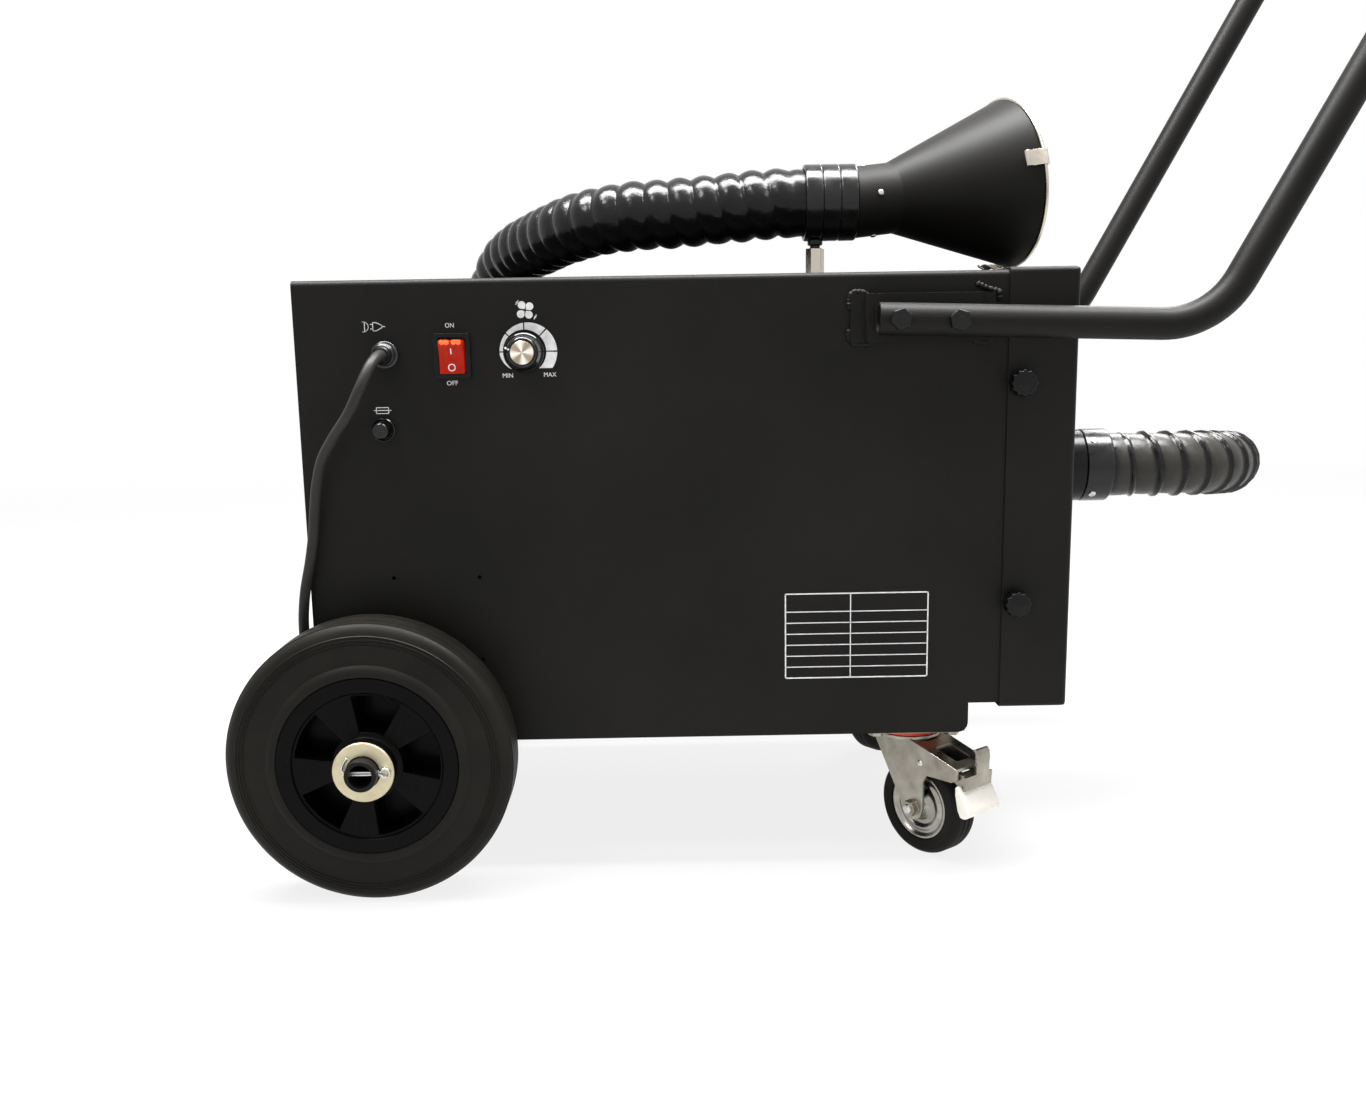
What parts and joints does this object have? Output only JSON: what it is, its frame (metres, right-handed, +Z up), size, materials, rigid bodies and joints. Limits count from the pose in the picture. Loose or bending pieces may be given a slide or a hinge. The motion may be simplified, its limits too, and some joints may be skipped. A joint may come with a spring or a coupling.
{
  "type": "mobile welding fume extractor",
  "caption": "Wheeled sheet-metal fume extractor with push handle, braked castors, scroll fan, cartridge filter behind a clamped door, ribbed hose and round hood.",
  "frame": {"origin": "on the floor under the middle of the machine's bounding box, the loose hose and mains lead left out", "axes": "+X towards the filter door and handle, -Y towards the control side, +Z up"},
  "size_m": [0.9798, 0.4459, 0.9268],
  "materials": {
    "powder_coat": "black fine-texture powder coat",
    "galvanised": "galvanised sheet",
    "zinc": "bright zinc plate",
    "washer_zinc": "yellow-passivated zinc",
    "nickel": "nickel plate",
    "aluminium": "spun aluminium",
    "rubber": "black rubber",
    "black_plastic": "black moulded plastic",
    "hose_plastic": "glossy ribbed hose",
    "pale_plastic": "off-white moulded plastic",
    "red_plastic": "red moulded seal",
    "lamp_red": "translucent red rocker",
    "filter_paper": "pleated filter paper",
    "foam": "closed-cell foam",
    "cord_jacket": "flexible lead jacket"
  },
  "bodies": {
    "chassis": {"cabinet_wrapper": "powder_coat", "exhaust_end_panel": "powder_coat", "base_pan": "powder_coat", "filter_door": "powder_coat", "axle_tube": "powder_coat", "handle_bracket_front": "powder_coat", "handle_bracket_rear": "powder_coat", "handle_tube": "powder_coat", "hood_cone": "powder_coat", "filter_bulkhead": "galvanised", "filter_frame": "galvanised", "spark_baffle": "galvanised", "fan_housing": "galvanised", "fan_motor": "galvanised", "wheel_split_pin_front": "zinc", "wheel_split_pin_rear": "zinc", "castor_plate_front": "zinc", "castor_plate_rear": "zinc", "wheel_washer_front": "washer_zinc", "wheel_washer_rear": "washer_zinc", "hood_ring": "nickel", "support_socket": "nickel", "switch_body": "black_plastic", "speed_control": "black_plastic", "fuse_holder": "black_plastic", "cable_gland": "black_plastic", "inlet_spigot": "black_plastic", "hose_cuff_inlet": "black_plastic", "hose_cuff_hood": "black_plastic", "mains_plug": "black_plastic", "extraction_hose": "hose_plastic", "filter_media": "filter_paper", "door_gasket": "foam", "power_cord": "cord_jacket", "cord_coil": "cord_jacket"},
    "wheel_front": {"wheel_rim_front": "black_plastic", "wheel_tyre_front": "rubber"},
    "wheel_rear": {"wheel_rim_rear": "black_plastic", "wheel_tyre_rear": "rubber"},
    "castor_swivel_front": {"castor_dust_ring_front": "red_plastic", "castor_fork_front": "zinc"},
    "castor_swivel_rear": {"castor_dust_ring_rear": "red_plastic", "castor_fork_rear": "zinc"},
    "castor_wheel_front": {"castor_rim_front": "zinc", "castor_tyre_front": "rubber"},
    "castor_wheel_rear": {"castor_rim_rear": "zinc", "castor_tyre_rear": "rubber"},
    "castor_pedal_front": {"castor_brake_front": "pale_plastic"},
    "castor_pedal_rear": {"castor_brake_rear": "pale_plastic"},
    "rocker": {"switch_rocker": "lamp_red"},
    "knob": {"speed_knob": "black_plastic", "speed_knob_cap": "aluminium"},
    "fuse_lid": {"fuse_cap": "black_plastic"},
    "impeller": {"fan_impeller": "galvanised"},
    "door_screw_front_upper": {"door_knob_front_upper": "black_plastic"},
    "door_screw_front_lower": {"door_knob_front_lower": "black_plastic"},
    "door_screw_rear_upper": {"door_knob_rear_upper": "black_plastic"},
    "door_screw_rear_lower": {"door_knob_rear_lower": "black_plastic"}
  },
  "joints": [
    {"name": "wheel_spin_front", "type": "hinge", "parent": "chassis", "child": "wheel_front", "pos_m": [-0.38986, -0.1766, 0.1], "axis": [0, 1, 0], "continuous": true},
    {"name": "wheel_spin_rear", "type": "hinge", "parent": "chassis", "child": "wheel_rear", "pos_m": [-0.38986, 0.1766, 0.1], "axis": [0, 1, 0], "continuous": true},
    {"name": "castor_swivel_front", "type": "hinge", "parent": "chassis", "child": "castor_swivel_front", "pos_m": [0.00034, -0.104, 0.092], "axis": [0, 0, 1], "continuous": true},
    {"name": "castor_spin_front", "type": "hinge", "parent": "castor_swivel_front", "child": "castor_wheel_front", "pos_m": [0.01327, -0.12055, 0.0375], "axis": [0.788, 0.6157, 0], "continuous": true},
    {"name": "castor_brake_front", "type": "hinge", "parent": "castor_swivel_front", "child": "castor_pedal_front", "pos_m": [0.03667, -0.15049, 0.0705], "axis": [0.788, 0.6157, 0], "range_deg": [-18, 0]},
    {"name": "castor_swivel_rear", "type": "hinge", "parent": "chassis", "child": "castor_swivel_rear", "pos_m": [0.00034, 0.104, 0.092], "axis": [0, 0, 1], "continuous": true},
    {"name": "castor_spin_rear", "type": "hinge", "parent": "castor_swivel_rear", "child": "castor_wheel_rear", "pos_m": [0.01643, 0.1175, 0.0375], "axis": [-0.6428, 0.766, 0], "continuous": true},
    {"name": "castor_brake_rear", "type": "hinge", "parent": "castor_swivel_rear", "child": "castor_pedal_rear", "pos_m": [0.04554, 0.14192, 0.0705], "axis": [-0.6428, 0.766, 0], "range_deg": [-18, 0]},
    {"name": "switch_rock", "type": "hinge", "parent": "chassis", "child": "rocker", "pos_m": [-0.32696, -0.145, 0.3776], "axis": [1, 0, 0], "range_deg": [-22, 0]},
    {"name": "speed_turn", "type": "hinge", "parent": "chassis", "child": "knob", "pos_m": [-0.27666, -0.153, 0.3792], "axis": [0, 1, 0], "range_deg": [-63, 207]},
    {"name": "fuse_turn", "type": "hinge", "parent": "chassis", "child": "fuse_lid", "pos_m": [-0.37716, -0.151, 0.3272], "axis": [0, 1, 0], "range_deg": [-90, 0]},
    {"name": "impeller_spin", "type": "hinge", "parent": "chassis", "child": "impeller", "pos_m": [-0.21566, 0, 0.27], "axis": [1, 0, 0], "continuous": true},
    {"name": "door_screw_turn_front_upper", "type": "hinge", "parent": "chassis", "child": "door_screw_front_upper", "pos_m": [0.06734, -0.153, 0.353], "axis": [0, 1, 0], "continuous": true},
    {"name": "door_screw_turn_front_lower", "type": "hinge", "parent": "chassis", "child": "door_screw_front_lower", "pos_m": [0.06734, -0.153, 0.197], "axis": [0, 1, 0], "continuous": true},
    {"name": "door_screw_turn_rear_upper", "type": "hinge", "parent": "chassis", "child": "door_screw_rear_upper", "pos_m": [0.06734, 0.153, 0.353], "axis": [0, 1, 0], "continuous": true},
    {"name": "door_screw_turn_rear_lower", "type": "hinge", "parent": "chassis", "child": "door_screw_rear_lower", "pos_m": [0.06734, 0.153, 0.197], "axis": [0, 1, 0], "continuous": true}
  ]
}
